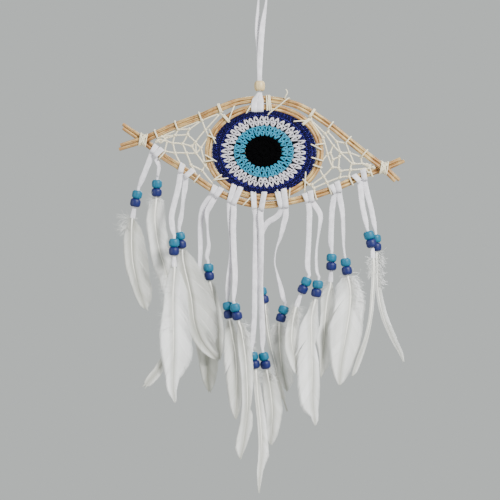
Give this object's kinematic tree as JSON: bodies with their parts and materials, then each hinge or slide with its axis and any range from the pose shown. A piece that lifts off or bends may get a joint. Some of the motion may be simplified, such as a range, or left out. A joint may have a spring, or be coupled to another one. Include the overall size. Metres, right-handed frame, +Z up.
{
  "type": "evil eye ornament",
  "caption": "Hanging eye ornament: crossed cane bows hold a crocheted eye, with thread webs at its corners and beaded, feathered suede laces below.",
  "frame": {"origin": "where the nail carries the hanging loop, inside the top of the loop", "axes": "+X to the viewer's right along the bows, +Z up, -Y towards the viewer, out of the wall"},
  "size_m": [0.242, 0.0317, 0.4342],
  "materials": {
    "cane": "bare rattan cane, satin, darker in the groove between canes",
    "suede_lace": "white faux suede, matt",
    "waxed_thread": "cream waxed thread",
    "navy_wool": "navy tweed yarn, crocheted",
    "white_wool": "white yarn, crocheted",
    "turquoise_wool": "turquoise yarn, crocheted",
    "black_wool": "black felted yarn",
    "painted_wood_beads": "painted wood, upper bead turquoise and lower bead royal blue, satin",
    "natural_wood_bead": "bare pale wood, satin",
    "feather": "white and pale grey natural feather, matt"
  },
  "bodies": {
    "hanger": {"hanging_loop": "suede_lace"},
    "sliding_bead": {"wooden_bead": "natural_wood_bead"},
    "frame": {"hanger_wrap": "suede_lace", "upper_bow": "cane", "lower_bow": "cane", "eye_hoop": "cane", "left_tip_binding": "waxed_thread", "right_tip_binding": "waxed_thread", "top_thread_binding": "waxed_thread", "left_web": "waxed_thread", "right_web": "waxed_thread", "navy_ring": "navy_wool", "white_ring": "white_wool", "turquoise_ring": "turquoise_wool", "pupil": "black_wool"},
    "lace_1": {"lace_1": "suede_lace", "beads_1a": "painted_wood_beads", "feather_1a": "feather", "beads_1b": "painted_wood_beads", "feather_1b": "feather"},
    "lace_2": {"lace_2": "suede_lace", "beads_2a": "painted_wood_beads", "feather_2a": "feather", "beads_2b": "painted_wood_beads", "feather_2b": "feather"},
    "lace_3": {"lace_3": "suede_lace", "beads_3a": "painted_wood_beads", "feather_3a": "feather", "beads_3b": "painted_wood_beads", "feather_3b": "feather"},
    "lace_4": {"lace_4": "suede_lace", "beads_4a": "painted_wood_beads", "feather_4a": "feather", "beads_4b": "painted_wood_beads", "feather_4b": "feather"},
    "lace_5": {"lace_5": "suede_lace", "beads_5a": "painted_wood_beads", "feather_5a": "feather", "beads_5b": "painted_wood_beads", "feather_5b": "feather"},
    "lace_6": {"lace_6": "suede_lace", "beads_6a": "painted_wood_beads", "feather_6a": "feather", "beads_6b": "painted_wood_beads", "feather_6b": "feather"},
    "lace_7": {"lace_7": "suede_lace", "beads_7a": "painted_wood_beads", "feather_7a": "feather", "beads_7b": "painted_wood_beads", "feather_7b": "feather"},
    "lace_8": {"lace_8": "suede_lace", "beads_8a": "painted_wood_beads", "feather_8a": "feather", "beads_8b": "painted_wood_beads", "feather_8b": "feather"},
    "lace_9": {"lace_9": "suede_lace", "beads_9a": "painted_wood_beads", "feather_9a": "feather", "beads_9b": "painted_wood_beads", "feather_9b": "feather"}
  },
  "joints": [
    {"name": "bead_slide", "type": "slide", "parent": "hanger", "child": "sliding_bead", "axis": [0, 0, 1], "range_m": [0, 0.012]},
    {"name": "frame_swing", "type": "hinge", "parent": "hanger", "child": "frame", "pos_m": [-0.0024, 0, -0.0964], "axis": [0, -1, 0], "range_deg": [-12, 12]},
    {"name": "lace_1_sway", "type": "hinge", "parent": "frame", "child": "lace_1", "pos_m": [-0.089, 0.00146, -0.14575], "axis": [0, -1, 0], "range_deg": [-12, 6]},
    {"name": "lace_2_sway", "type": "hinge", "parent": "frame", "child": "lace_2", "pos_m": [-0.0665, 0, -0.16122], "axis": [0, -1, 0], "range_deg": [-8, 5]},
    {"name": "lace_3_sway", "type": "hinge", "parent": "frame", "child": "lace_3", "pos_m": [-0.0395, 0, -0.17912], "axis": [0, -1, 0], "range_deg": [-8, 8]},
    {"name": "lace_4_sway", "type": "hinge", "parent": "frame", "child": "lace_4", "pos_m": [-0.0235, 0, -0.18241], "axis": [0, -1, 0], "range_deg": [-7, 7]},
    {"name": "lace_5_sway", "type": "hinge", "parent": "frame", "child": "lace_5", "pos_m": [-0.0045, 0, -0.18738], "axis": [0, -1, 0], "range_deg": [-8, 8]},
    {"name": "lace_6_sway", "type": "hinge", "parent": "frame", "child": "lace_6", "pos_m": [0.0165, 0, -0.18593], "axis": [0, -1, 0], "range_deg": [-8, 8]},
    {"name": "lace_7_sway", "type": "hinge", "parent": "frame", "child": "lace_7", "pos_m": [0.0385, 0, -0.18442], "axis": [0, -1, 0], "range_deg": [-8, 8]},
    {"name": "lace_8_sway", "type": "hinge", "parent": "frame", "child": "lace_8", "pos_m": [0.061, 0, -0.17687], "axis": [0, -1, 0], "range_deg": [-8, 8]},
    {"name": "lace_9_sway", "type": "hinge", "parent": "frame", "child": "lace_9", "pos_m": [0.0815, 0.00077, -0.16754], "axis": [0, -1, 0], "range_deg": [-6, 12]}
  ]
}
